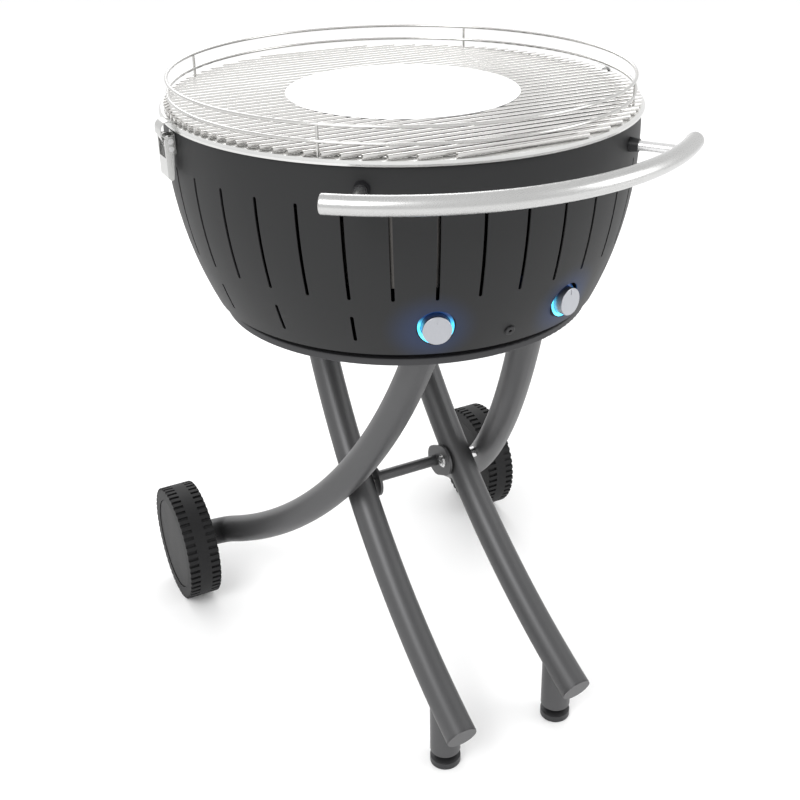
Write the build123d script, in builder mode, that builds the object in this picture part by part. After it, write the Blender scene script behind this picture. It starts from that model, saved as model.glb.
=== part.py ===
"""Wheeled round charcoal grill with a fan-fed fire bowl on a crossed tubular stand.

Millimetres, +Z up.  The origin is on the floor under the axis of the bowl, the
control knobs and the push handle face -Y and the wheels are at the back.
"""
import os
from math import acos, asin, atan2, cos, degrees, radians, sin, sqrt, tan

from build123d import *

os.makedirs("parts", exist_ok=True)

# ---- bowl -------------------------------------------------------------------
bowl_arc_r = 496.6          # meridian arc of the outer bowl
bowl_arc_centre_r = -197.7  # its centre, measured from the bowl axis
bowl_arc_centre_z = 806.8
bowl_bottom_z = 599.0
bowl_top_z = 835.5
bowl_wall = 1.6
slot_count = 36
slot_width = 4.2
long_slot_low, long_slot_high = 678.0, 791.0
short_slot_low, short_slot_high = 619.0, 655.0
short_slot_step = 40.0      # two slot pitches, in the sector without controls

# ---- fire bowl inside it ----------------------------------------------------
fire_bowl_gap = 12.0        # air gap between the two bowls
fire_bowl_wall = 1.2
fire_bowl_floor_z = 655.0
fire_bowl_corner_z = 690.0
rim_overhang, rim_lift, rim_height = 4.2, 2.0, 5.5
rim_round = 3.0
air_opening_r = 38.0

# ---- stand ------------------------------------------------------------------
base_thick, base_inset = 9.0, 10.5
base_hole_r = 60.0
spacer_height, spacer_inset, spacer_wall = 10.6, 17.4, 8.0
tube_r, tube_wall = 21.0, 2.0
leg_arc_r, leg_arc_y, leg_arc_z = 974.8, -685.7, 978.9
leg_top_x, leg_foot_x = 68.1, 90.7    # at leg_top_ref_z and leg_low_ref_z
leg_top_ref_z, leg_low_ref_z = 600.0, 60.0
leg_end_y = -312.5
wheel_tube_arc_r = 929.0
wheel_tube_heading = 16.3   # degrees outwards from straight back
wheel_tube_end_slope = 63.9  # degrees from vertical where the arc ends
wheel_tube_corner_x = 208.5
wheel_tube_bend_r = 38.0
tube_cap_thick = 2.0
foot_y = -267.0
foot_r, foot_stem_r, foot_height = 20.6, 5.0, 12.0
foot_side, foot_dome = 10.0, 11.6
foot_socket_r, foot_socket_low_z = 20.5, 16.5
cross_rod_r, cross_rod_y, cross_rod_z = 8.2, 23.0, 275.0
cross_bolt_r, cross_bolt_head_r = 4.0, 8.0
cross_plate_thick, cross_plate_height = 4.0, 46.0
plate_gap = 1.6             # the legs lean, the plates stand upright

# ---- wheels -----------------------------------------------------------------
wheel_r, wheel_width, wheel_outer_x = 91.6, 48.8, 294.9
wheel_y = 267.7
axle_r = 5.0
tread_height = 19.6
tread_grooves, groove_width, groove_depth, groove_length = 52, 5.0, 3.5, 15.0

# ---- cooking grate and guard ------------------------------------------------
bar_r, bar_pitch = 2.8, 14.2
grate_inset, edge_ring_inset = 6.3, 21.3
cross_bar_r, cross_bar_x = 2.5, 170.0
centre_plate_r, centre_plate_thick = 148.0, 1.6
guard_inset, guard_wire_r, guard_post_r = 12.3, 2.0, 1.6
guard_low_rise, guard_ring_gap = 15.3, 18.3

# ---- charcoal container -----------------------------------------------------
pot_r, pot_wall, pot_floor_z, pot_top_z = 105.0, 1.2, 690.0, 775.0
lid_overhang, lid_rise = 3.0, 9.0
pan_r, pan_wall, pan_height = 58.0, 1.2, 12.0

# ---- handle -----------------------------------------------------------------
handle_reach, handle_drop = 70.7, 16.9   # from the bowl's widest circle, from its edge
handle_tube_r, handle_tube_wall = 11.0, 1.5
handle_half_angle = 39.6
strut_angle, strut_drop, strut_r = 35.5, 22.5, 6.0
collar_r, collar_length = 9.0, 11.0

# ---- controls ---------------------------------------------------------------
knob_angles = {"left": -20.0, "right": 17.0}
knob_z, knob_r, knob_stand_out, knob_seat_inset = 640.0, 17.0, 12.0, 2.0
knob_shaft_r = 3.0
knob_gap, light_ring_width, bezel_wall, bezel_depth = 0.8, 3.4, 1.2, 22.0
front_screw_z, front_screw_r = 620.0, 6.5

# ---- toggle latches, at the two ends of the X axis --------------------------
latch_pin_reach, latch_pin_drop, latch_pin_r = 7.9, 9.5, 2.0
hook_pin_drop = 9.0
lever_half_width, lever_length, lever_over_pin = 15.0, 52.0, 5.0
lever_face_reach, lever_sheet = 6.5, 1.5
window_height, window_edge = 23.2, 1.8
hook_sheet, hook_crown, hook_bend_r = 1.6, 6.5, 8.5
bracket_inset, bracket_sheet = 6.0, 1.5

# ---- fan unit ---------------------------------------------------------------
fan_case_r, fan_case_wall, fan_case_top_z = 62.0, 1.5, 641.0
fan_r, fan_low_z, fan_high_z, fan_blades = 54.0, 615.0, 634.0, 9
motor_r, motor_top_z, fan_shaft_r = 16.0, 611.5, 2.0
battery_box_size = (124.0, 66.0, 30.0)
battery_box_y = 130.0
cell_r, cell_length = 7.1, 50.5

# ---- fits -------------------------------------------------------------------
running = 0.06              # radial clearance of a pin in its hole
loose = 0.3                 # clearance between pieces that only pass each other


def bowl_radius(z, inset=0.0):
    """Radius of the outer bowl's outside at height z, or of a shell inset from it."""
    rise = z - bowl_arc_centre_z
    return bowl_arc_centre_r + sqrt((bowl_arc_r - inset) ** 2 - rise**2)


# ---- sizes that follow from the bowl ----------------------------------------
bowl_widest_r = bowl_arc_centre_r + bowl_arc_r
rim_r = bowl_radius(bowl_top_z) + rim_overhang
rim_low_z = bowl_top_z + rim_lift
rim_top_z = rim_low_z + rim_height
base_low_z = bowl_bottom_z - spacer_height - base_thick
base_r = bowl_radius(bowl_bottom_z) - base_inset
spacer_r = bowl_radius(bowl_bottom_z) - spacer_inset
grate_r, guard_r, edge_ring_r = (rim_r - inset for inset in (grate_inset, guard_inset, edge_ring_inset))
bars_each_side = int(grate_r / bar_pitch)
guard_low_z = rim_top_z + guard_low_rise
guard_high_z = guard_low_z + guard_ring_gap
handle_arc_r = bowl_widest_r + handle_reach
handle_z, strut_z = bowl_top_z - handle_drop, bowl_top_z - strut_drop
knob_seat_r = bowl_radius(knob_z) - knob_seat_inset
knob_face_r = knob_seat_r + knob_stand_out
light_ring_in_r = knob_r + knob_gap
light_ring_out_r = light_ring_in_r + light_ring_width
bezel_r = light_ring_out_r + loose + bezel_wall
latch_pin_x, latch_pin_z = bowl_widest_r + latch_pin_reach, bowl_top_z - latch_pin_drop
lever_face_x = latch_pin_x + lever_face_reach
lever_top_z = latch_pin_z + lever_over_pin
lever_low_z = lever_top_z - lever_length
window_high_z = lever_top_z - window_edge
window_low_z = window_high_z - window_height
bracket_half_width = lever_half_width - bracket_inset


def radial_plane(azimuth, z=0.0, r=0.0):
    """Upright plane facing outwards at an azimuth from the front: x sideways, y up."""
    a = radians(azimuth)
    return Plane(
        origin=(r * sin(a), -r * cos(a), z),
        x_dir=(cos(a), sin(a), 0),
        z_dir=(sin(a), -cos(a), 0),
    )


def across(x, y=0.0, z=0.0):
    """Plane facing +X at a point, with local x along +Y and local y up."""
    return Plane(origin=(x, y, z), x_dir=(0, 1, 0), z_dir=(1, 0, 0))


def save(part, name):
    part.label = name
    export_step(part, f"parts/{name}.step")


# ============================== outer bowl ===================================
middle_z = (bowl_bottom_z + bowl_top_z) / 2
bowl_floor_top_z = bowl_bottom_z + bowl_wall
with BuildPart() as outer_bowl:
    with BuildSketch(Plane.XZ):
        with BuildLine():
            ThreePointArc(
                (bowl_radius(bowl_bottom_z), bowl_bottom_z),
                (bowl_radius(middle_z), middle_z),
                (bowl_radius(bowl_top_z), bowl_top_z),
            )
            Line(
                (bowl_radius(bowl_top_z), bowl_top_z),
                (bowl_radius(bowl_top_z, bowl_wall), bowl_top_z),
            )
            ThreePointArc(
                (bowl_radius(bowl_top_z, bowl_wall), bowl_top_z),
                (bowl_radius(middle_z, bowl_wall), middle_z),
                (bowl_radius(bowl_floor_top_z, bowl_wall), bowl_floor_top_z),
            )
            Polyline(
                (bowl_radius(bowl_floor_top_z, bowl_wall), bowl_floor_top_z),
                (0, bowl_floor_top_z),
                (0, bowl_bottom_z),
                (bowl_radius(bowl_bottom_z), bowl_bottom_z),
            )
        make_face()
    revolve(axis=Axis.Z)
    slot_step = 360 / slot_count
    for i in range(slot_count):
        with BuildSketch(radial_plane(i * slot_step, (long_slot_low + long_slot_high) / 2, base_hole_r)):
            SlotOverall(long_slot_high - long_slot_low, slot_width, rotation=90)
        extrude(amount=rim_r, mode=Mode.SUBTRACT)
    short_angle = short_slot_step
    while short_angle <= 360 - short_slot_step:
        with BuildSketch(radial_plane(short_angle, (short_slot_low + short_slot_high) / 2, base_hole_r)):
            SlotOverall(short_slot_high - short_slot_low, slot_width, rotation=90)
        extrude(amount=rim_r, mode=Mode.SUBTRACT)
        short_angle += 2 * slot_step
    for azimuth in knob_angles.values():
        with BuildSketch(radial_plane(azimuth, knob_z, base_hole_r)):
            Circle(bezel_r + loose)
        extrude(amount=rim_r, mode=Mode.SUBTRACT)
    for azimuth in (-strut_angle, strut_angle):
        with BuildSketch(radial_plane(azimuth, strut_z, base_hole_r)):
            Circle(strut_r / 2 + loose)
        extrude(amount=rim_r, mode=Mode.SUBTRACT)
    with BuildSketch(radial_plane(0, front_screw_z, base_hole_r)):
        Circle(front_screw_r / 2 + loose)
    extrude(amount=rim_r, mode=Mode.SUBTRACT)
save(outer_bowl.part, "outer_bowl")

# ============================== fire bowl ====================================
shell_out = fire_bowl_gap
shell_in = fire_bowl_gap + fire_bowl_wall
rim_under_z = rim_top_z - fire_bowl_wall
fire_floor_top_z = fire_bowl_floor_z + fire_bowl_wall
fire_mid_z = (rim_under_z + fire_bowl_corner_z) / 2
fire_floor_r = bowl_radius(fire_bowl_corner_z, shell_out) - (fire_bowl_corner_z - fire_bowl_floor_z)
with BuildPart() as fire_bowl:
    with BuildSketch(Plane.XZ):
        with BuildLine():
            Polyline(
                (rim_r - fire_bowl_wall, rim_low_z),
                (rim_r - fire_bowl_wall, rim_under_z - rim_round),
                (rim_r - fire_bowl_wall - rim_round, rim_under_z),
                (bowl_radius(rim_under_z, shell_out), rim_under_z),
            )
            ThreePointArc(
                (bowl_radius(rim_under_z, shell_out), rim_under_z),
                (bowl_radius(fire_mid_z, shell_out), fire_mid_z),
                (bowl_radius(fire_bowl_corner_z, shell_out), fire_bowl_corner_z),
            )
            Polyline(
                (bowl_radius(fire_bowl_corner_z, shell_out), fire_bowl_corner_z),
                (fire_floor_r, fire_bowl_floor_z),
                (air_opening_r, fire_bowl_floor_z),
                (air_opening_r, fire_floor_top_z),
                (fire_floor_r - fire_bowl_wall / 2, fire_floor_top_z),
                (bowl_radius(fire_bowl_corner_z, shell_in), fire_bowl_corner_z + fire_bowl_wall / 2),
            )
            ThreePointArc(
                (bowl_radius(fire_bowl_corner_z, shell_in), fire_bowl_corner_z + fire_bowl_wall / 2),
                (bowl_radius(fire_mid_z, shell_in), fire_mid_z),
                (bowl_radius(rim_top_z, shell_in), rim_top_z),
            )
            Polyline(
                (bowl_radius(rim_top_z, shell_in), rim_top_z),
                (rim_r - rim_round, rim_top_z),
                (rim_r, rim_top_z - rim_round),
                (rim_r, rim_low_z),
                (rim_r - fire_bowl_wall, rim_low_z),
            )
        make_face()
    revolve(axis=Axis.Z)
save(fire_bowl.part, "fire_bowl")

# ============================== base =========================================
base_top_z = base_low_z + base_thick
with BuildPart() as base_flange:
    with BuildSketch(Plane.XY.offset(base_low_z)):
        Circle(base_r)
        Circle(base_hole_r, mode=Mode.SUBTRACT)
    extrude(amount=base_thick)
    fillet(base_flange.edges().filter_by(GeomType.CIRCLE).group_by(SortBy.RADIUS)[-1], 1.5)
save(base_flange.part, "base_flange")

with BuildPart() as bowl_spacer:
    with BuildSketch(Plane.XY.offset(base_top_z)):
        Circle(spacer_r)
        Circle(spacer_r - spacer_wall, mode=Mode.SUBTRACT)
    extrude(amount=bowl_bottom_z - base_top_z)
save(bowl_spacer.part, "bowl_spacer")

# ============================== front legs ===================================
# Each leg is one large arc in a plane that leans slightly outwards.
lean = (leg_foot_x - leg_top_x) / (leg_top_ref_z - leg_low_ref_z)


def leg_point(z):
    """Centre of the right leg at height z."""
    y = leg_arc_y + sqrt(leg_arc_r**2 - (z - leg_arc_z) ** 2)
    return Vector(leg_top_x + (leg_top_ref_z - z) * lean, y, z)


leg_end_z = leg_arc_z - sqrt(leg_arc_r**2 - (leg_end_y - leg_arc_y) ** 2)
leg_top, leg_end = leg_point(base_low_z), leg_point(leg_end_z)
leg_middle = leg_point((base_low_z + leg_end_z) / 2)
with BuildLine() as leg_path:
    ThreePointArc(leg_point(base_low_z + tube_r), leg_middle, leg_end)
leg_start_plane = Plane(leg_path.line @ 0, z_dir=leg_path.line % 0)
leg_end_plane = Plane(leg_path.line @ 1, z_dir=leg_path.line % 1)

# ---- crossing with the wheel tubes ----
slope, heading = radians(wheel_tube_end_slope), radians(wheel_tube_heading)
forward = Vector(sin(heading), cos(heading), 0)
tube_end_dir = forward * sin(slope) - Vector(0, 0, cos(slope))
bend_angle = acos(tube_end_dir.X)
bend_reach = wheel_tube_bend_r * tan(bend_angle / 2)
tube_corner = Vector(wheel_tube_corner_x, wheel_y, wheel_r)
bend_start = tube_corner - tube_end_dir * bend_reach
bend_end = tube_corner + Vector(bend_reach, 0, 0)
arc_centre = bend_start + (forward * cos(slope) + Vector(0, 0, sin(slope))) * wheel_tube_arc_r


def wheel_tube_point(z):
    """Centre of the right wheel tube's main arc at height z."""
    drop = (arc_centre.Z - z) / wheel_tube_arc_r
    return arc_centre - forward * (wheel_tube_arc_r * sqrt(1 - drop**2)) - Vector(0, 0, arc_centre.Z - z)


bend_bisector = (Vector(1, 0, 0) - tube_end_dir).normalized()
bend_centre = tube_corner + bend_bisector * (wheel_tube_bend_r / cos(bend_angle / 2))
bend_middle = bend_centre - bend_bisector * wheel_tube_bend_r
wheel_inner_x = wheel_outer_x - wheel_width
tube_end_x = wheel_inner_x - tube_cap_thick - axle_r
with BuildLine() as wheel_tube_path:
    ThreePointArc(
        wheel_tube_point(base_low_z + tube_r),
        wheel_tube_point((base_low_z + bend_start.Z) / 2),
        bend_start,
    )
    ThreePointArc(bend_start, bend_middle, bend_end)
    Line(bend_end, (tube_end_x, wheel_y, wheel_r))
tube_start_plane = Plane(wheel_tube_path.wires()[0] @ 0, z_dir=wheel_tube_path.wires()[0] % 0)


def crossing_height():
    """Height at which the leg and the wheel tube stand at the same Y."""
    low, high = bend_start.Z, base_low_z
    for _ in range(60):
        z = (low + high) / 2
        if wheel_tube_point(z).Y > leg_point(z).Y:
            low = z
        else:
            high = z
    return z


cross_z = crossing_height()
cross_y = leg_point(cross_z).Y
leg_cross_x, tube_cross_x = leg_point(cross_z).X, wheel_tube_point(cross_z).X
plate_x = leg_cross_x - tube_r - cross_plate_thick - plate_gap

with BuildPart() as leg_core:
    with BuildSketch(leg_start_plane):
        Circle(tube_r)
    sweep(path=leg_path.wires()[0])
with BuildPart() as wheel_tube_core:
    with BuildSketch(tube_start_plane):
        Circle(tube_r)
    sweep(path=wheel_tube_path.wires()[0])

with BuildPart() as right_leg:
    with BuildSketch(leg_start_plane):
        Circle(tube_r)
        Circle(tube_r - tube_wall, mode=Mode.SUBTRACT)
    sweep(path=leg_path.wires()[0])
    split(bisect_by=Plane.XY.offset(base_low_z), keep=Keep.BOTTOM)
    with BuildSketch(across(0, cross_y, cross_z)):
        Circle(cross_bolt_r + loose)
    extrude(amount=wheel_outer_x, mode=Mode.SUBTRACT)
save(right_leg.part, "right_leg")

with BuildPart() as right_wheel_tube:
    with BuildSketch(tube_start_plane):
        Circle(tube_r)
        Circle(tube_r - tube_wall, mode=Mode.SUBTRACT)
    sweep(path=wheel_tube_path.wires()[0])
    split(bisect_by=Plane.XY.offset(base_low_z), keep=Keep.BOTTOM)
    with BuildSketch(across(0, cross_y, cross_z)):
        Circle(cross_bolt_r + loose)
    extrude(amount=tube_cross_x, mode=Mode.SUBTRACT)
save(right_wheel_tube.part, "right_wheel_tube")

with BuildPart() as left_leg:
    mirror(right_leg.part, about=Plane.YZ)
save(left_leg.part, "left_leg")

with BuildPart() as left_wheel_tube:
    mirror(right_wheel_tube.part, about=Plane.YZ)
save(left_wheel_tube.part, "left_wheel_tube")

# ---- tube ends ----
with BuildPart() as leg_end_caps:
    with BuildSketch(leg_end_plane):
        Circle(tube_r - 0.5)
    extrude(amount=tube_cap_thick)
    with BuildSketch(leg_end_plane):
        Circle(tube_r - tube_wall - loose)
    extrude(amount=-2 * tube_cap_thick)
    mirror(leg_end_caps.part, about=Plane.YZ)
save(leg_end_caps.part, "leg_end_caps")

with BuildPart() as axle_plugs:
    with BuildSketch(across(tube_end_x, wheel_y, wheel_r)):
        Circle(tube_r - 0.5)
        Circle(axle_r + running, mode=Mode.SUBTRACT)
    extrude(amount=tube_cap_thick)
    with BuildSketch(across(tube_end_x, wheel_y, wheel_r)):
        Circle(tube_r - tube_wall - loose)
        Circle(axle_r + running, mode=Mode.SUBTRACT)
    extrude(amount=-tube_cap_thick)
    mirror(axle_plugs.part, about=Plane.YZ)
save(axle_plugs.part, "axle_plugs")

# ---- foot sockets and levelling feet ----
foot_x = leg_point(leg_arc_z - sqrt(leg_arc_r**2 - (foot_y - leg_arc_y) ** 2)).X
leg_over_foot_z = leg_arc_z - sqrt(leg_arc_r**2 - (foot_y - leg_arc_y) ** 2)
with BuildPart() as foot_sockets:
    with BuildSketch(Plane.XY.offset(foot_socket_low_z)):
        with Locations((foot_x, foot_y)):
            Circle(foot_socket_r)
    extrude(amount=leg_over_foot_z - foot_socket_low_z)
    chamfer(foot_sockets.faces().sort_by(Axis.Z)[0].edges(), foot_socket_r / 4)
    add(leg_core.part, mode=Mode.SUBTRACT)
    with BuildSketch(Plane.XY.offset(foot_socket_low_z)):
        with Locations((foot_x, foot_y)):
            Circle(foot_stem_r + running)
    extrude(amount=leg_over_foot_z - foot_socket_low_z - 1.6 * tube_r, mode=Mode.SUBTRACT)
    mirror(foot_sockets.part, about=Plane.YZ)
save(foot_sockets.part, "foot_sockets")

foot_stem_top_z = leg_over_foot_z - 2 * tube_r
for side, sign in (("left", -1), ("right", 1)):
    with BuildPart() as foot:
        with BuildSketch(Plane(origin=(sign * foot_x, foot_y, 0), x_dir=(1, 0, 0), z_dir=(0, -1, 0))):
            with BuildLine():
                Polyline((0, 0), (foot_r - 1, 0), (foot_r, 1), (foot_r, foot_side))
                ThreePointArc((foot_r, foot_side), (foot_r * 0.7, foot_dome), (foot_stem_r, foot_height))
                Polyline(
                    (foot_stem_r, foot_height), (foot_stem_r, foot_stem_top_z), (0, foot_stem_top_z), (0, 0)
                )
            make_face()
        revolve(axis=Axis((sign * foot_x, foot_y, 0), (0, 0, 1)))
    save(foot.part, f"{side}_foot")

# ---- crossing ----
with BuildPart() as cross_rod:
    with BuildSketch(across(-plate_x, cross_rod_y, cross_rod_z)):
        Circle(cross_rod_r)
    extrude(amount=2 * plate_x)
save(cross_rod.part, "cross_rod")

plate_run = Vector(0, cross_y - cross_rod_y, cross_z - cross_rod_z)
plate_tilt = degrees(atan2(plate_run.Z, plate_run.Y))
with BuildPart() as cross_plates:
    with BuildSketch(across(plate_x, (cross_y + cross_rod_y) / 2, (cross_z + cross_rod_z) / 2)):
        SlotCenterToCenter(plate_run.length, cross_plate_height, rotation=plate_tilt)
    extrude(amount=cross_plate_thick)
    with BuildSketch(across(plate_x, cross_y, cross_z)):
        Circle(cross_bolt_r + loose)
    extrude(amount=cross_plate_thick, mode=Mode.SUBTRACT)
    mirror(cross_plates.part, about=Plane.YZ)
save(cross_plates.part, "cross_plates")

with BuildPart() as cross_spacers:
    with BuildSketch(across(leg_cross_x, cross_y, cross_z)):
        Circle(cross_bolt_head_r)
        Circle(cross_bolt_r + loose, mode=Mode.SUBTRACT)
    extrude(amount=tube_cross_x - leg_cross_x)
    add(leg_core.part, mode=Mode.SUBTRACT)
    add(wheel_tube_core.part, mode=Mode.SUBTRACT)
    mirror(cross_spacers.part, about=Plane.YZ)
save(cross_spacers.part, "cross_spacers")

bolt_end_x = tube_cross_x - cross_bolt_r / 2
with BuildPart() as cross_bolts:
    with BuildSketch(across(plate_x, cross_y, cross_z)):
        Circle(cross_bolt_r)
    extrude(amount=bolt_end_x - plate_x)
    with BuildSketch(across(plate_x, cross_y, cross_z)):
        Circle(cross_bolt_head_r * 1.25)
    extrude(amount=-cross_bolt_r / 3)
    with BuildSketch(across(plate_x, cross_y, cross_z)):
        Circle(cross_bolt_head_r * 0.9)
    extrude(amount=-cross_bolt_r)
    with BuildSketch(across(plate_x - cross_bolt_r, cross_y, cross_z)):
        RegularPolygon(cross_bolt_r * 0.7, 6)
    extrude(amount=cross_bolt_r * 0.6, mode=Mode.SUBTRACT)
    with BuildSketch(across(bolt_end_x, cross_y, cross_z)):
        RegularPolygon(cross_bolt_r * 1.7, 6)
    extrude(amount=-cross_bolt_r * 1.5)
    mirror(cross_bolts.part, about=Plane.YZ)
save(cross_bolts.part, "cross_bolts")

# ============================== wheels =======================================
tyre_inner_r = wheel_r - tread_height
hub_r = tyre_inner_r - loose
hub_plate = 6.0
boss_r = 12.0
axle_head_r, axle_head_thick = 9.0, 2.5
axle_collar_r, axle_collar_thick = 12.0, 3.0
cover_recess, cover_thick = 1.2, 3.0
cover_back = wheel_width - cover_recess - cover_thick
boss_length = cover_back - axle_head_thick - 3 * loose
screw_ring_r, screw_r, screw_count = 0.64 * hub_r, 4.5, 5
for side, sign in (("left", -1), ("right", 1)):
    # Local z runs from the wheel's inner face outwards along the axle.
    wheel_plane = Plane(
        origin=(sign * wheel_inner_x, wheel_y, wheel_r), x_dir=(0, sign, 0), z_dir=(sign, 0, 0)
    )
    with BuildPart(wheel_plane) as tyre:
        Cylinder(wheel_r, wheel_width, align=(Align.CENTER, Align.CENTER, Align.MIN))
        fillet(tyre.edges().filter_by(GeomType.CIRCLE), 1.5)
        Cylinder(
            tyre_inner_r, wheel_width, align=(Align.CENTER, Align.CENTER, Align.MIN), mode=Mode.SUBTRACT
        )
        for row_z in (groove_length / 2, wheel_width - groove_length / 2):
            with Locations((0, 0, row_z)):
                with PolarLocations(wheel_r, tread_grooves):
                    Box(2 * groove_depth, groove_width, groove_length, mode=Mode.SUBTRACT)
    save(tyre.part, f"{side}_tyre")

    with BuildPart(wheel_plane) as hub:
        Cylinder(hub_r, hub_plate, align=(Align.CENTER, Align.CENTER, Align.MIN))
        Cylinder(boss_r, boss_length, align=(Align.CENTER, Align.CENTER, Align.MIN))
        Cylinder(
            axle_r + running, wheel_width, align=(Align.CENTER, Align.CENTER, Align.MIN), mode=Mode.SUBTRACT
        )
        with PolarLocations(screw_ring_r, screw_count):
            Cylinder(
                screw_r / 2 + loose,
                hub_plate,
                align=(Align.CENTER, Align.CENTER, Align.MIN),
                mode=Mode.SUBTRACT,
            )
    save(hub.part, f"{side}_hub")

    with BuildPart(wheel_plane) as hub_cover:
        with Locations((0, 0, cover_back)):
            Cylinder(hub_r, cover_thick, align=(Align.CENTER, Align.CENTER, Align.MIN))
        with Locations((0, 0, hub_plate + loose)):
            with PolarLocations(screw_ring_r, screw_count):
                Cylinder(
                    screw_r, cover_back - hub_plate - loose, align=(Align.CENTER, Align.CENTER, Align.MIN)
                )
        fillet(hub_cover.faces().sort_by(Axis.X)[-1 if sign > 0 else 0].edges(), 1.0)
        with PolarLocations(screw_ring_r, screw_count):
            Cylinder(
                screw_r / 2, 2 * hub_plate, align=(Align.CENTER, Align.CENTER, Align.MIN), mode=Mode.SUBTRACT
            )
    save(hub_cover.part, f"{side}_hub_cover")

    with BuildPart(wheel_plane) as hub_screws:
        with PolarLocations(screw_ring_r, screw_count):
            Cylinder(
                screw_r / 2 - running, 2 * hub_plate - loose, align=(Align.CENTER, Align.CENTER, Align.MIN)
            )
        with Locations((0, 0, -screw_r / 2)):
            with PolarLocations(screw_ring_r, screw_count):
                Cylinder(screw_r, screw_r / 2, align=(Align.CENTER, Align.CENTER, Align.MIN))
    save(hub_screws.part, f"{side}_hub_screws")

    plug_back = -(wheel_inner_x - tube_end_x + tube_cap_thick)
    with BuildPart(wheel_plane) as axle:
        with Locations((0, 0, plug_back)):
            Cylinder(axle_r, boss_length - plug_back + loose, align=(Align.CENTER, Align.CENTER, Align.MIN))
        with Locations((0, 0, tube_end_x + tube_cap_thick + loose - wheel_inner_x)):
            Cylinder(axle_collar_r, axle_collar_thick, align=(Align.CENTER, Align.CENTER, Align.MIN))
        with Locations((0, 0, boss_length + loose)):
            Cylinder(axle_head_r, axle_head_thick, align=(Align.CENTER, Align.CENTER, Align.MIN))
    save(axle.part, f"{side}_axle")

# ============================== grate ========================================
bar_z = rim_top_z + loose + bar_r
support_z = bar_z - bar_r - cross_bar_r + 1.0
plate_low_z = bar_z + bar_r - centre_plate_thick    # let into the bars, flush with their tops
with BuildPart() as cooking_grate:
    for i in range(-bars_each_side, bars_each_side + 1):
        bar_y = i * bar_pitch
        half_length = sqrt(grate_r**2 - bar_y**2)
        with BuildSketch(across(-half_length, bar_y, bar_z)):
            Circle(bar_r)
        extrude(amount=2 * half_length)
    for x in (-cross_bar_x, cross_bar_x):
        half_length = sqrt(edge_ring_r**2 - x**2)
        with BuildSketch(Plane.XZ.offset(-half_length)):
            with Locations((x, support_z)):
                Circle(cross_bar_r)
        extrude(amount=2 * half_length)
    with Locations((0, 0, support_z)):
        Torus(edge_ring_r, cross_bar_r)
    with BuildSketch(Plane.XY.offset(plate_low_z)):
        Circle(centre_plate_r + running)
    extrude(amount=2 * bar_r, mode=Mode.SUBTRACT)
save(cooking_grate.part, "cooking_grate")

with BuildPart() as centre_plate:
    with BuildSketch(Plane.XY.offset(plate_low_z)):
        Circle(centre_plate_r)
    extrude(amount=centre_plate_thick)
    fillet(centre_plate.faces().sort_by(Axis.Z)[-1].edges(), centre_plate_thick / 4)
save(centre_plate.part, "centre_plate")

with BuildPart() as guard_rail:
    with Locations((0, 0, guard_low_z), (0, 0, guard_high_z)):
        Torus(guard_r, guard_wire_r)
    with BuildSketch(Plane.XY.offset(rim_top_z + loose)):
        with PolarLocations(guard_r, 4, start_angle=45):
            Circle(guard_post_r)
    extrude(amount=guard_high_z - rim_top_z - loose)
save(guard_rail.part, "guard_rail")

# ============================== charcoal container ===========================
pot_hole_r, pot_holes, floor_holes = 7.0, 12, 12
with BuildPart() as charcoal_container:
    with BuildSketch(Plane.XY.offset(fire_floor_top_z + loose)):
        Circle(pot_r)
        Circle(pot_r - pot_wall, mode=Mode.SUBTRACT)
    extrude(amount=pot_top_z - fire_floor_top_z - loose)
    with BuildSketch(Plane.XY.offset(pot_floor_z)):
        Circle(pot_r)
        with PolarLocations(pot_r * 0.6, floor_holes):
            Circle(pot_hole_r, mode=Mode.SUBTRACT)
    extrude(amount=pot_wall)
    for i in range(pot_holes // 2):
        for z in (pot_floor_z - 2.5 * pot_hole_r, pot_floor_z + 4 * pot_hole_r):
            with BuildSketch(radial_plane(i * 360 / pot_holes, z, -pot_r - pot_wall)):
                Circle(pot_hole_r)
            extrude(amount=2 * (pot_r + pot_wall), mode=Mode.SUBTRACT)
save(charcoal_container.part, "charcoal_container")

lid_low_z = pot_top_z + loose
lid_r = pot_r + lid_overhang
lid_dome_r = (lid_r**2 + lid_rise**2) / (2 * lid_rise)
with BuildPart() as container_lid:
    with BuildSketch(Plane.XZ):
        with BuildLine():
            Line((0, lid_low_z + lid_rise), (0, lid_low_z + lid_rise + pot_wall))
            RadiusArc(
                (0, lid_low_z + lid_rise + pot_wall), (lid_r, lid_low_z + pot_wall), lid_dome_r
            )
            Line((lid_r, lid_low_z + pot_wall), (lid_r, lid_low_z))
            RadiusArc((lid_r, lid_low_z), (0, lid_low_z + lid_rise), -lid_dome_r)
        make_face()
    revolve(axis=Axis.Z)
save(container_lid.part, "container_lid")

lid_knob_z = lid_low_z + lid_rise + pot_wall
with BuildPart() as lid_knob:
    with BuildSketch(Plane.XY.offset(lid_knob_z)):
        Circle(5)
    extrude(amount=6)
    with BuildSketch(Plane.XY.offset(lid_knob_z + 6)):
        Circle(12)
    extrude(amount=5)
    fillet(lid_knob.faces().sort_by(Axis.Z)[-1].edges(), 1.5)
save(lid_knob.part, "lid_knob")

pan_low_z = fire_floor_top_z + loose
with BuildPart() as ignition_pan:
    with BuildSketch(Plane.XY.offset(pan_low_z)):
        Circle(pan_r)
    extrude(amount=pan_height)
    with BuildSketch(Plane.XY.offset(pan_low_z + pan_wall)):
        Circle(pan_r - pan_wall)
    extrude(amount=pan_height, mode=Mode.SUBTRACT)
save(ignition_pan.part, "ignition_pan")

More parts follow.
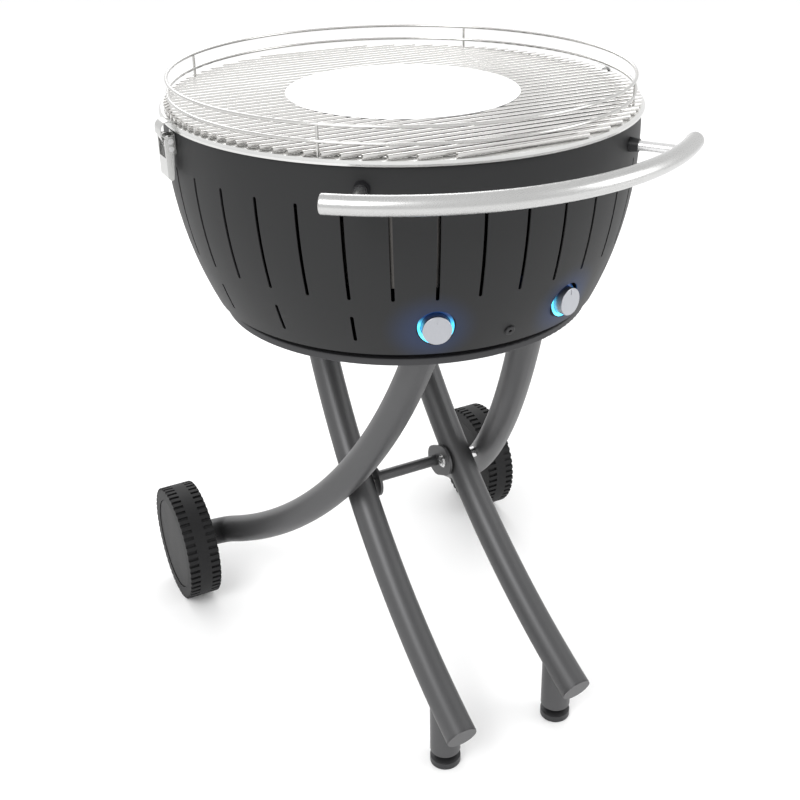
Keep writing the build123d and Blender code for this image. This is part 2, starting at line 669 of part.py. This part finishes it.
# ============================== handle =======================================
handle_ends = [(handle_arc_r * sin(radians(s * handle_half_angle)),
                -handle_arc_r * cos(radians(handle_half_angle)), handle_z) for s in (-1, 1)]
with BuildLine() as handle_path:
    ThreePointArc(handle_ends[0], (0, -handle_arc_r, handle_z), handle_ends[1])
handle_start = Plane(handle_path.line @ 0, z_dir=handle_path.line % 0)
with BuildPart() as handle_core:
    with BuildSketch(handle_start):
        Circle(handle_tube_r)
    sweep(path=handle_path.wires()[0])
with BuildPart() as handle_tube:
    with BuildSketch(handle_start):
        Circle(handle_tube_r)
        Circle(handle_tube_r - handle_tube_wall, mode=Mode.SUBTRACT)
    sweep(path=handle_path.wires()[0])
save(handle_tube.part, "handle_tube")

cap_thick = 2.5
with BuildPart() as handle_end_caps:
    with BuildSketch(Plane(handle_path.line @ 1, z_dir=handle_path.line % 1)):
        Circle(handle_tube_r)
    extrude(amount=cap_thick)
    fillet(handle_end_caps.edges().filter_by(GeomType.CIRCLE).sort_by(Axis.X)[-1], 1.8)
    with BuildSketch(Plane(handle_path.line @ 1, z_dir=handle_path.line % 1)):
        Circle(handle_tube_r - handle_tube_wall - loose)
    extrude(amount=-2 * cap_thick)
    mirror(handle_end_caps.part, about=Plane.YZ)
save(handle_end_caps.part, "handle_end_caps")

collar_start_r = bowl_radius(strut_z) + loose
strut_start_r = collar_start_r + collar_length
nut_r = bowl_radius(strut_z, bowl_wall) - loose
with BuildPart() as handle_struts:
    with BuildSketch(radial_plane(strut_angle, strut_z, strut_start_r)):
        Circle(strut_r)
    extrude(amount=handle_arc_r - strut_start_r)
    add(handle_core.part, mode=Mode.SUBTRACT)
    with BuildSketch(radial_plane(strut_angle, strut_z, strut_start_r)):
        Circle(strut_r / 2)
    extrude(amount=nut_r - strut_start_r - strut_r)
    with BuildSketch(radial_plane(strut_angle, strut_z, nut_r)):
        RegularPolygon(strut_r * 0.9, 6)
    extrude(amount=-strut_r * 0.8)
    mirror(handle_struts.part, about=Plane.YZ)
save(handle_struts.part, "handle_struts")

with BuildPart() as strut_collars:
    with BuildSketch(radial_plane(strut_angle, strut_z, collar_start_r)):
        Circle(collar_r)
        Circle(strut_r / 2 + running, mode=Mode.SUBTRACT)
    extrude(amount=collar_length, taper=6)
    mirror(strut_collars.part, about=Plane.YZ)
save(strut_collars.part, "strut_collars")

# ============================== controls =====================================
ring_back_r = knob_seat_r - 5.0
bezel_back_r = knob_seat_r - bezel_depth
control_r, control_length = 11.0, 26.0
with BuildPart() as bezels:
    for azimuth in knob_angles.values():
        with BuildSketch(radial_plane(azimuth, knob_z, bezel_back_r)):
            Circle(bezel_r)
        extrude(amount=bezel_depth)
        with BuildSketch(radial_plane(azimuth, knob_z, bezel_back_r + 2)):
            Circle(light_ring_out_r + loose)
        extrude(amount=bezel_depth, mode=Mode.SUBTRACT)
        with BuildSketch(radial_plane(azimuth, knob_z, bezel_back_r)):
            Circle(knob_shaft_r + 2 * loose)
        extrude(amount=bezel_depth, mode=Mode.SUBTRACT)
save(bezels.part, "bezels")

with BuildPart() as light_rings:
    for azimuth in knob_angles.values():
        with BuildSketch(radial_plane(azimuth, knob_z, ring_back_r)):
            Circle(light_ring_out_r)
            Circle(light_ring_in_r, mode=Mode.SUBTRACT)
        extrude(amount=knob_seat_r - ring_back_r)
save(light_rings.part, "light_rings")

with BuildPart() as control_units:
    for azimuth in knob_angles.values():
        with BuildSketch(radial_plane(azimuth, knob_z, bezel_back_r - loose)):
            Circle(control_r)
            Circle(knob_shaft_r + running, mode=Mode.SUBTRACT)
        extrude(amount=-control_length)
save(control_units.part, "control_units")

knob_back_r = ring_back_r
for side, azimuth in knob_angles.items():
    with BuildPart() as knob:
        with BuildSketch(radial_plane(azimuth, knob_z, knob_back_r)):
            Circle(knob_r)
        extrude(amount=knob_face_r - knob_back_r)
        rims = knob.edges().filter_by(GeomType.CIRCLE)
        fillet(rims.sort_by(Axis.Y)[0], 0.8)
        with BuildSketch(radial_plane(azimuth, knob_z, knob_back_r)):
            Circle(knob_shaft_r)
        extrude(amount=bezel_back_r - control_length * 0.8 - knob_back_r)
        with BuildSketch(radial_plane(azimuth, knob_z + knob_r * 0.72, knob_face_r)):
            Rectangle(1.2, knob_r * 0.4)
        extrude(amount=-0.5, mode=Mode.SUBTRACT)
    save(knob.part, f"{side}_knob")

screw_skin_r = bowl_radius(front_screw_z)
screw_tilt = degrees(asin((front_screw_z - bowl_arc_centre_z) / bowl_arc_r))
screw_plane = radial_plane(0, front_screw_z, screw_skin_r).rotated((-screw_tilt, 0, 0))
with BuildPart() as front_screw:
    with BuildSketch(screw_plane.offset(0.2)):
        Circle(front_screw_r)
    extrude(amount=2.2)
    fillet(front_screw.edges().filter_by(GeomType.CIRCLE).sort_by(Axis.Y)[0], 1.2)
    with BuildSketch(screw_plane.offset(2.4)):
        RegularPolygon(front_screw_r * 0.36, 6)
    extrude(amount=-1.8, mode=Mode.SUBTRACT)
    with BuildSketch(screw_plane.offset(0.2)):
        Circle(front_screw_r / 2 - loose)
    extrude(amount=-8)
save(front_screw.part, "front_screw")

# ============================== latches ======================================
hook_pin_z = latch_pin_z - hook_pin_drop
ear_r = 5.0
plate_back_x = bowl_widest_r + loose
ear_low, ear_high = bracket_half_width - bracket_sheet, bracket_half_width
side_plane = Plane.XZ  # local x along X, local y up, normal towards -Y
with BuildPart() as latch_brackets:
    with BuildSketch(across(plate_back_x, 0, latch_pin_z - ear_r)):
        Rectangle(2 * bracket_half_width, 5.4 * ear_r)
        fillet(vertices(), 2.0)
    extrude(amount=bracket_sheet)
    for y in (-ear_low, ear_high):
        with BuildSketch(side_plane.offset(-y)):
            with Locations((latch_pin_x, latch_pin_z)):
                Circle(ear_r)
            with Locations(((plate_back_x + latch_pin_x) / 2, latch_pin_z)):
                Rectangle(latch_pin_x - plate_back_x, 2 * ear_r)
            with Locations((latch_pin_x, latch_pin_z)):
                Circle(latch_pin_r + running, mode=Mode.SUBTRACT)
        extrude(amount=bracket_sheet)
    mirror(latch_brackets.part, about=Plane.YZ)
save(latch_brackets.part, "latch_brackets")

pin_half_length = lever_half_width + 1.5
with BuildPart() as latch_pins:
    with BuildSketch(side_plane.offset(-pin_half_length)):
        with Locations((latch_pin_x, latch_pin_z)):
            Circle(latch_pin_r)
    extrude(amount=2 * pin_half_length)
    with BuildSketch(side_plane.offset(lever_half_width + loose)):
        with Locations((latch_pin_x, latch_pin_z)):
            Circle(1.6 * latch_pin_r)
    extrude(amount=1.2)
    with BuildSketch(side_plane.offset(-lever_half_width - loose - 1.2)):
        with Locations((latch_pin_x, latch_pin_z)):
            Circle(1.6 * latch_pin_r)
    extrude(amount=1.2)
    mirror(latch_pins.part, about=Plane.YZ)
save(latch_pins.part, "latch_pins")

flange_depth = 9.5
flange_in_x = lever_face_x - flange_depth
window_half = lever_half_width - 2.3 * lever_sheet
with BuildPart() as right_lever:
    with BuildSketch(side_plane.offset(-lever_half_width)):
        with BuildLine():
            Polyline(
                (lever_face_x, lever_low_z + 4),
                (lever_face_x, lever_top_z - 3),
                (lever_face_x - 3, lever_top_z),
                (flange_in_x, lever_top_z),
                (flange_in_x, hook_pin_z - 6),
                (flange_in_x + 2.5, lever_low_z + 2),
                (lever_face_x - 4, lever_low_z),
                (lever_face_x, lever_low_z + 4),
            )
        make_face()
    extrude(amount=2 * lever_half_width)
    with BuildSketch(side_plane.offset(-(lever_half_width - lever_sheet))):
        with Locations(((flange_in_x + lever_face_x) / 2 - lever_sheet, (lever_low_z + lever_top_z) / 2)):
            Rectangle(flange_depth, 2 * (lever_top_z - lever_low_z))
    extrude(amount=2 * (lever_half_width - lever_sheet), mode=Mode.SUBTRACT)
    with BuildSketch(side_plane.offset(-window_half)):
        with Locations((lever_face_x, (window_low_z + window_high_z) / 2)):
            Rectangle(4 * lever_sheet, window_high_z - window_low_z)
    extrude(amount=2 * window_half, mode=Mode.SUBTRACT)
    with BuildSketch(side_plane.offset(-pin_half_length)):
        with Locations((latch_pin_x, latch_pin_z)):
            Circle(latch_pin_r + running)
        with Locations((latch_pin_x, hook_pin_z)):
            Circle(latch_pin_r)
    extrude(amount=2 * pin_half_length, mode=Mode.SUBTRACT)
save(right_lever.part, "right_lever")

with BuildPart() as right_hook_pin:
    with BuildSketch(side_plane.offset(-lever_half_width)):
        with Locations((latch_pin_x, hook_pin_z)):
            Circle(latch_pin_r - 0.01)
    extrude(amount=2 * lever_half_width)
    with BuildSketch(side_plane.offset(lever_half_width)):
        with Locations((latch_pin_x, hook_pin_z)):
            Circle(1.6 * latch_pin_r)
    extrude(amount=1.2)
    with BuildSketch(side_plane.offset(-lever_half_width - 1.2)):
        with Locations((latch_pin_x, hook_pin_z)):
            Circle(1.6 * latch_pin_r)
    extrude(amount=1.2)
save(right_hook_pin.part, "right_hook_pin")

eye_r = 3.4
hook_eye_half = ear_low - 0.7
hook_lip_z = rim_top_z + 3 * loose + hook_sheet / 2
hook_bulge_x = lever_face_x + 2.2
lip_x = grate_r + 2.0
with BuildPart() as right_hook:
    with BuildSketch(side_plane.offset(-hook_eye_half)):
        with BuildLine():
            FilletPolyline(
                (latch_pin_x + 2.2, hook_pin_z + 1.5),
                (latch_pin_x + 5.2, latch_pin_z - 1),
                (hook_bulge_x, lever_top_z + 2),
                radius=5,
            )
        trace(line_width=hook_sheet)
        with Locations((latch_pin_x, hook_pin_z)):
            Circle(eye_r)
            Circle(latch_pin_r + running, mode=Mode.SUBTRACT)
    extrude(amount=2 * hook_eye_half)
    with BuildSketch(side_plane.offset(-(window_half - 1))):
        with BuildLine():
            FilletPolyline(
                (hook_bulge_x, lever_top_z + 1),
                (hook_bulge_x, hook_lip_z + hook_crown),
                (lip_x, hook_lip_z),
                radius=hook_bend_r,
            )
        trace(line_width=hook_sheet)
    extrude(amount=2 * (window_half - 1))
save(right_hook.part, "right_hook")

with BuildPart() as left_lever:
    mirror(right_lever.part, about=Plane.YZ)
save(left_lever.part, "left_lever")
with BuildPart() as left_hook_pin:
    mirror(right_hook_pin.part, about=Plane.YZ)
save(left_hook_pin.part, "left_hook_pin")
with BuildPart() as left_hook:
    mirror(right_hook.part, about=Plane.YZ)
save(left_hook.part, "left_hook")

# ============================== fan unit =====================================
case_low_z = bowl_floor_top_z + loose
with BuildPart() as fan_case:
    with BuildSketch(Plane.XY.offset(case_low_z)):
        Circle(fan_case_r)
    extrude(amount=fan_case_top_z - case_low_z)
    with BuildSketch(Plane.XY.offset(case_low_z)):
        Circle(fan_case_r - fan_case_wall)
    extrude(amount=fan_case_top_z - case_low_z - fan_case_wall, mode=Mode.SUBTRACT)
    with BuildSketch(Plane.XY.offset(case_low_z)):
        Circle(air_opening_r)
    extrude(amount=fan_case_top_z, mode=Mode.SUBTRACT)
    for i in range(6):
        with BuildSketch(radial_plane(i * 30, case_low_z + 10, -fan_case_r - 1)):
            Rectangle(14, 14)
        extrude(amount=2 * fan_case_r + 2, mode=Mode.SUBTRACT)
save(fan_case.part, "fan_case")

with BuildPart() as air_duct:
    with BuildSketch(Plane.XY.offset(fan_case_top_z)):
        Circle(air_opening_r + fan_case_wall)
        Circle(air_opening_r, mode=Mode.SUBTRACT)
    extrude(amount=fire_bowl_floor_z - fan_case_top_z)
save(air_duct.part, "air_duct")

with BuildPart() as fan_motor:
    with BuildSketch(Plane.XY.offset(case_low_z)):
        Circle(motor_r)
    extrude(amount=motor_top_z - case_low_z)
    with BuildSketch(Plane.XY.offset(motor_top_z)):
        Circle(fan_shaft_r + running)
    extrude(amount=-(motor_top_z - case_low_z) * 0.8, mode=Mode.SUBTRACT)
save(fan_motor.part, "fan_motor")

blade_length, blade_thick = fan_r - motor_r + 1, 1.2
with BuildPart() as fan_rotor:
    with BuildSketch(Plane.XY.offset(fan_low_z)):
        Circle(motor_r)
    extrude(amount=fan_high_z - fan_low_z)
    with BuildSketch(Plane.XY.offset(fan_low_z)):
        with PolarLocations((motor_r + fan_r) / 2, fan_blades):
            Rectangle(blade_length, blade_thick, rotation=18)
    extrude(amount=fan_high_z - fan_low_z - 2)
    with BuildSketch(Plane.XY.offset(fan_low_z)):
        Circle(fan_shaft_r)
    extrude(amount=-(fan_low_z - motor_top_z) - (motor_top_z - case_low_z) * 0.7)
save(fan_rotor.part, "fan_rotor")

box_x, box_y, box_z = battery_box_size
box_wall = 2.0
with BuildPart() as battery_box:
    with BuildSketch(Plane.XY.offset(case_low_z)):
        with Locations((0, battery_box_y)):
            Rectangle(box_x, box_y)
    extrude(amount=box_z)
    with BuildSketch(Plane.XY.offset(case_low_z + box_wall)):
        with Locations((0, battery_box_y)):
            Rectangle(box_x - 2 * box_wall, box_y - 2 * box_wall)
    extrude(amount=box_z, mode=Mode.SUBTRACT)
save(battery_box.part, "battery_box")

with BuildPart() as battery_cells:
    for i in range(4):
        cell_y = battery_box_y + (i - 1.5) * 2.08 * cell_r
        for x in (-cell_length - 1, 1):
            with BuildSketch(across(x, cell_y, case_low_z + box_wall + cell_r + loose)):
                Circle(cell_r)
            extrude(amount=cell_length)
save(battery_cells.part, "battery_cells")
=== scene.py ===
import bpy
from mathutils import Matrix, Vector


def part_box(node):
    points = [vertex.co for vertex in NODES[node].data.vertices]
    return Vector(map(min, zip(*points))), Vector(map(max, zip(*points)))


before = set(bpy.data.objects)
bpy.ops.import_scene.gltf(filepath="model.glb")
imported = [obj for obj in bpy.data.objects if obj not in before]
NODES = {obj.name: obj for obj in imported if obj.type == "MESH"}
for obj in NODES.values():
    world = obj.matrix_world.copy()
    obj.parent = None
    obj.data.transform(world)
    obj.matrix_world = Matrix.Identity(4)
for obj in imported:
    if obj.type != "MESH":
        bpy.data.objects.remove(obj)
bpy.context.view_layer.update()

SCENE = bpy.context.scene
FLOOR_SIZE = 30             # metres, so its edge stays out of sight
SHADE_FADE = 0.004           # height over which painted shade gives way to bright steel


# ------------------------------------------------------------------ materials
class Value:
    """A shader socket that can be used in Python arithmetic."""

    def __init__(self, finish, socket):
        self.finish, self.socket = finish, socket

    def _math(self, operation, *others, clamp=False):
        node = self.finish.node("ShaderNodeMath", {"operation": operation, "use_clamp": clamp},
                                {i: v for i, v in enumerate((self,) + others)})
        return node.out(0)

    def __add__(self, other):
        return self._math("ADD", other)

    __radd__ = __add__

    def __mul__(self, other):
        return self._math("MULTIPLY", other)

    __rmul__ = __mul__

    def __sub__(self, other):
        return self._math("SUBTRACT", other)

    def __rsub__(self, other):
        return (self * -1) + other

    def clamped(self):
        return self._math("ADD", 0.0, clamp=True)

    def ramp(self, low, high):
        """0 below low, 1 above high, smooth between them."""
        node = self.finish.node("ShaderNodeMapRange", {"interpolation_type": "SMOOTHSTEP"},
                                {"Value": self, "From Min": low, "From Max": high})
        return node.out("Result")


class Made:
    """A node that has been added to a finish."""

    def __init__(self, finish, node):
        self.finish, self.node = finish, node

    def out(self, name):
        return Value(self.finish, self.node.outputs[name])


class Finish:
    """One material; its constants are set straight on the shader's own sockets."""

    def __init__(self, name, **constants):
        self.material = bpy.data.materials.new(name)
        self.material.use_nodes = True
        self.tree = self.material.node_tree
        self.shader = self.tree.nodes["Principled BSDF"]
        for socket, value in constants.items():
            self.shader.inputs[socket.replace("_", " ")].default_value = value
        place = self.node("ShaderNodeTexCoord").out("Object")
        self.place = place
        self.z = self.node("ShaderNodeSeparateXYZ", inputs={0: place}).out("Z")

    def node(self, kind, settings=None, inputs=None):
        """Adds a node: its settings first, then the values or links of its sockets."""
        node = self.tree.nodes.new(kind)
        for key, value in (settings or {}).items():
            setattr(node, key, value)
        for key, value in (inputs or {}).items():
            if isinstance(value, Value):
                self.tree.links.new(value.socket, node.inputs[key])
            else:
                node.inputs[key].default_value = value
        return Made(self, node)

    def grain(self, scale, detail=2.0, stretch=(1, 1, 1), rough=0.5):
        """Noise from 0 to 1, with scale in features per metre and a stretch per axis."""
        place = self.node("ShaderNodeMapping", {}, {"Vector": self.place, "Scale": stretch}).out(0)
        return self.node("ShaderNodeTexNoise", {}, {
            "Vector": place, "Scale": scale, "Detail": detail, "Roughness": rough}).out("Fac")

    def mix(self, mask, low, high):
        """A colour between two colours."""
        return self.node("ShaderNodeMix", {"data_type": "RGBA"}, {0: mask, 6: low, 7: high}).out(2)

    def set(self, socket, value):
        self.tree.links.new(value.socket, self.shader.inputs[socket])
        return self

    def bump(self, height, strength=0.3, distance=0.0005):
        node = self.node("ShaderNodeBump", {}, {
            "Height": height, "Strength": strength, "Distance": distance})
        return self.set("Normal", node.out("Normal"))


def paint(name, colour, rough=0.42, specular=0.3, speckle=0.12, metallic=0.0, flake=2600):
    """Powder coat: orange-peel relief, faint flake and a slightly uneven sheen."""
    f = Finish(name, Metallic=metallic, Specular_IOR_Level=specular)
    peel, flakes, wide = f.grain(420, 2), f.grain(flake, 1), f.grain(9, 3)
    light = tuple(min(1, c * (1 + 2.2 * speckle) + 0.004) for c in colour) + (1,)
    f.set("Base Color", f.mix((flakes.ramp(0.55, 0.75) * speckle * 4 + wide * 0.12).clamped(),
                              colour + (1,), light))
    f.set("Roughness", wide * 0.08 + flakes * 0.06 + (rough - 0.07))
    return f.bump(peel * 0.7 + flakes * 0.3, 0.12, 0.0004)


def steel(name, colour, rough, stretch=(1, 1, 1), lines=900, depth=0.10, wear=0.5, shaded_below=None):
    """Stainless steel, brushed or rolled, with faint handling marks and painted shade below a given height.
    """
    f = Finish(name, Metallic=1.0)
    brush, cloud = f.grain(lines, 2, stretch), f.grain(16, 3)
    dark = tuple(c * 0.78 for c in colour)
    tint = f.mix((brush * 0.5 + cloud * wear).clamped(), dark + (1,), colour + (1,))
    if shaded_below:
        # painted shade: below the rim the steel is darkened to stand for the dim, covered inside of the
        # bowl
        painted_shade = f.mix(cloud, (0.05, 0.047, 0.045, 1), (0.12, 0.115, 0.11, 1))
        tint = f.mix(f.z.ramp(shaded_below - SHADE_FADE, shaded_below), painted_shade, tint)
    f.set("Base Color", tint)
    f.set("Roughness", brush * 0.12 + cloud * 0.08 + (rough - 0.08))
    return f.bump(brush, depth, 0.0002)


def plastic(name, colour, rough=0.5, pores=1900, depth=0.18, specular=0.3):
    """Moulded plastic or rubber with a fine spark-eroded texture."""
    f = Finish(name, Specular_IOR_Level=specular)
    pits, cloud = f.grain(pores, 2), f.grain(24, 3)
    light = tuple(c * 1.5 + 0.002 for c in colour) + (1,)
    f.set("Base Color", f.mix((cloud * 0.6 + pits * 0.3).clamped(), colour + (1,), light))
    f.set("Roughness", pits * 0.12 + cloud * 0.08 + (rough - 0.1))
    return f.bump(pits, depth, 0.0003)


bowl_coat = paint("bowl_coat", (0.0195, 0.0198, 0.0203), 0.52, 0.20, 0.10)
base_coat = paint("base_coat", (0.040, 0.040, 0.042), 0.50, 0.22, 0.12)
tube_coat = paint("tube_coat", (0.086, 0.086, 0.088), 0.42, 0.32, 0.20, 0.65, 3200)
black_coat = paint("black_coat", (0.008, 0.008, 0.009), 0.60, 0.15, 0.05)
dark_screw = paint("dark_screw", (0.020, 0.020, 0.021), 0.35, 0.40, 0.05, 0.6)
tyre_rubber = plastic("tyre_rubber", (0.009, 0.009, 0.0095), 0.60, 1400, 0.25, 0.22)
hub_plastic = plastic("hub_plastic", (0.010, 0.010, 0.0105), 0.54, 1900, 0.18, 0.20)
black_plastic = plastic("black_plastic", (0.008, 0.008, 0.009), 0.42)
foot_steel = paint("foot_steel", (0.050, 0.050, 0.052), 0.42, 0.40, 0.15, 0.7)
rim_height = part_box("outer_bowl")[1][2]
bowl_steel = steel("bowl_steel", (0.80, 0.80, 0.79), 0.22, (1, 1, 6), shaded_below=rim_height)
pan_steel = steel("pan_steel", (0.34, 0.335, 0.33), 0.30, (1, 1, 6))
rod_steel = steel("rod_steel", (0.76, 0.75, 0.735), 0.16, (0.05, 1, 1), 1500)
plate_steel = steel("plate_steel", (0.93, 0.93, 0.93), 0.38, (0.08, 1, 1), 1200, 0.05, 0.9)
wire_steel = steel("wire_steel", (0.62, 0.615, 0.60), 0.16)
sheet_steel = steel("sheet_steel", (0.60, 0.60, 0.59), 0.22, (1, 1, 0.1), 1300)
handle_steel = steel("handle_steel", (0.57, 0.57, 0.565), 0.26, (0.06, 1, 1), 1600)
bolt_steel = steel("bolt_steel", (0.80, 0.80, 0.80), 0.26)
knob_silver = steel("knob_silver", (0.46, 0.47, 0.50), 0.36, (1, 1, 0.1), 1500, 0.08)

# a soft blue halo of each ring's light is painted into the coat round its knob as emission
halo_blue, halo_reach = (0.006, 0.022, 0.080, 1), (0.012, 0.060)
halo = 0
for side in ("left", "right"):
    low, high = (Vector(corner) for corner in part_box(side + "_knob"))
    away = bowl_coat.node("ShaderNodeVectorMath", {"operation": "DISTANCE"},
                          {0: bowl_coat.place, 1: (low + high) / 2}).out("Value")
    halo = (1 - away.ramp(*halo_reach)) + halo
bowl_coat.set("Emission Color", bowl_coat.mix(halo.clamped(), (0, 0, 0, 1), halo_blue))
bowl_coat.shader.inputs["Emission Strength"].default_value = 1.0

# each ring glows in its lower half; towards its top it is painted dark, as painted shade of the recess it
# sits in
ring_low, ring_high = (corner[2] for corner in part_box("light_rings"))
ring_height = ring_high - ring_low
light_ring = Finish("light_ring", Roughness=0.25, Emission_Strength=1.6)
glow = light_ring.grain(60, 2)
glow_colour = light_ring.mix(glow.ramp(0.3, 0.7), (0.02, 0.34, 0.78, 1), (0.12, 0.72, 0.95, 1))
# painted shade: the ring's upper part is darkened as if shadowed by the bowl's overhang
recess_shade = light_ring.z.ramp(ring_low + 0.50 * ring_height, ring_low + 0.82 * ring_height)
glow_colour = light_ring.mix(recess_shade, glow_colour, (0.003, 0.020, 0.080, 1))
light_ring.set("Base Color", glow_colour).set("Emission Color", glow_colour)

FINISH_OF = {
    bowl_coat: ("outer_bowl",),
    base_coat: ("base_flange",),
    black_coat: ("bowl_spacer", "fan_case", "air_duct", "fan_motor"),
    tube_coat: ("right_leg", "left_leg", "right_wheel_tube", "left_wheel_tube", "leg_end_caps",
                "foot_sockets", "cross_rod", "cross_plates"),
    tyre_rubber: ("left_tyre", "right_tyre"),
    hub_plastic: ("left_hub", "right_hub", "left_hub_cover", "right_hub_cover"),
    black_plastic: ("axle_plugs", "strut_collars", "bezels", "control_units", "battery_box",
                    "battery_cells", "lid_knob", "fan_rotor"),
    foot_steel: ("left_foot", "right_foot"),
    dark_screw: ("front_screw",),
    bowl_steel: ("fire_bowl",),
    pan_steel: ("charcoal_container", "container_lid", "ignition_pan"),
    rod_steel: ("cooking_grate",),
    plate_steel: ("centre_plate",),
    wire_steel: ("guard_rail",),
    sheet_steel: ("left_lever", "right_lever", "left_hook", "right_hook", "latch_brackets"),
    handle_steel: ("handle_tube", "handle_end_caps"),
    bolt_steel: ("handle_struts", "left_axle", "right_axle", "cross_bolts", "cross_spacers",
                 "latch_pins", "left_hook_pin", "right_hook_pin",
                 "left_hub_screws", "right_hub_screws"),
    knob_silver: ("left_knob", "right_knob"),
    light_ring: ("light_rings",),
}
for finish, names in FINISH_OF.items():
    for name in names:
        mesh = NODES[name].data
        mesh.materials.clear()
        mesh.materials.append(finish.material)
unpainted = set(NODES) - {name for names in FINISH_OF.values() for name in names}
assert not unpainted, unpainted

# ----------------------------------------------------------------- stage
bpy.ops.mesh.primitive_plane_add(size=FLOOR_SIZE, location=(0, 0, 0))
ground = bpy.context.object
ground.name = "studio_floor"
floor_finish = Finish("studio_floor", Roughness=0.7)
floor_mottle = floor_finish.grain(1.5, 2)
floor_finish.set("Base Color", floor_finish.mix(floor_mottle, (0.95, 0.95, 0.95, 1), (0.97, 0.97, 0.97, 1)))
ground.data.materials.append(floor_finish.material)

world = bpy.data.worlds.new("studio")
SCENE.world = world
world.use_nodes = True
world.node_tree.nodes["Background"].inputs["Color"].default_value = (1, 1, 1, 1)
world.node_tree.nodes["Background"].inputs["Strength"].default_value = 1.03


def softbox(name, place, aim, size, power):
    data = bpy.data.lights.new(name, "AREA")
    data.shape, data.size, data.size_y, data.energy = "RECTANGLE", size[0], size[1], power
    lamp = bpy.data.objects.new(name, data)
    SCENE.collection.objects.link(lamp)
    lamp.location = place
    lamp.rotation_euler = (Vector(aim) - Vector(place)).to_track_quat("-Z", "Y").to_euler()


bowl_centre = (0, 0, 0.7)
softbox("key_softbox", (-2.2, -1.6, 2.8), bowl_centre, (1.6, 1.6), 55)
softbox("fill_softbox", (2.4, -1.8, 1.6), bowl_centre, (1.4, 2.0), 22)
softbox("back_softbox", (0.6, 2.6, 2.2), bowl_centre, (2.2, 1.2), 30)

# ----------------------------------------------------------------- camera
eye = Vector((-0.6485, -1.2806, 1.178))
look = Vector((0.4417, 0.7907, -0.424))
camera_data = bpy.data.cameras.new("camera")
camera_data.sensor_width, camera_data.lens = 36.0, 51.27
camera_data.shift_x, camera_data.shift_y = -0.0621, -0.0819
camera = bpy.data.objects.new("camera", camera_data)
SCENE.collection.objects.link(camera)
camera.location = eye
camera.rotation_euler = look.to_track_quat("-Z", "Y").to_euler()
SCENE.camera = camera
SCENE.view_settings.view_transform = "Standard"
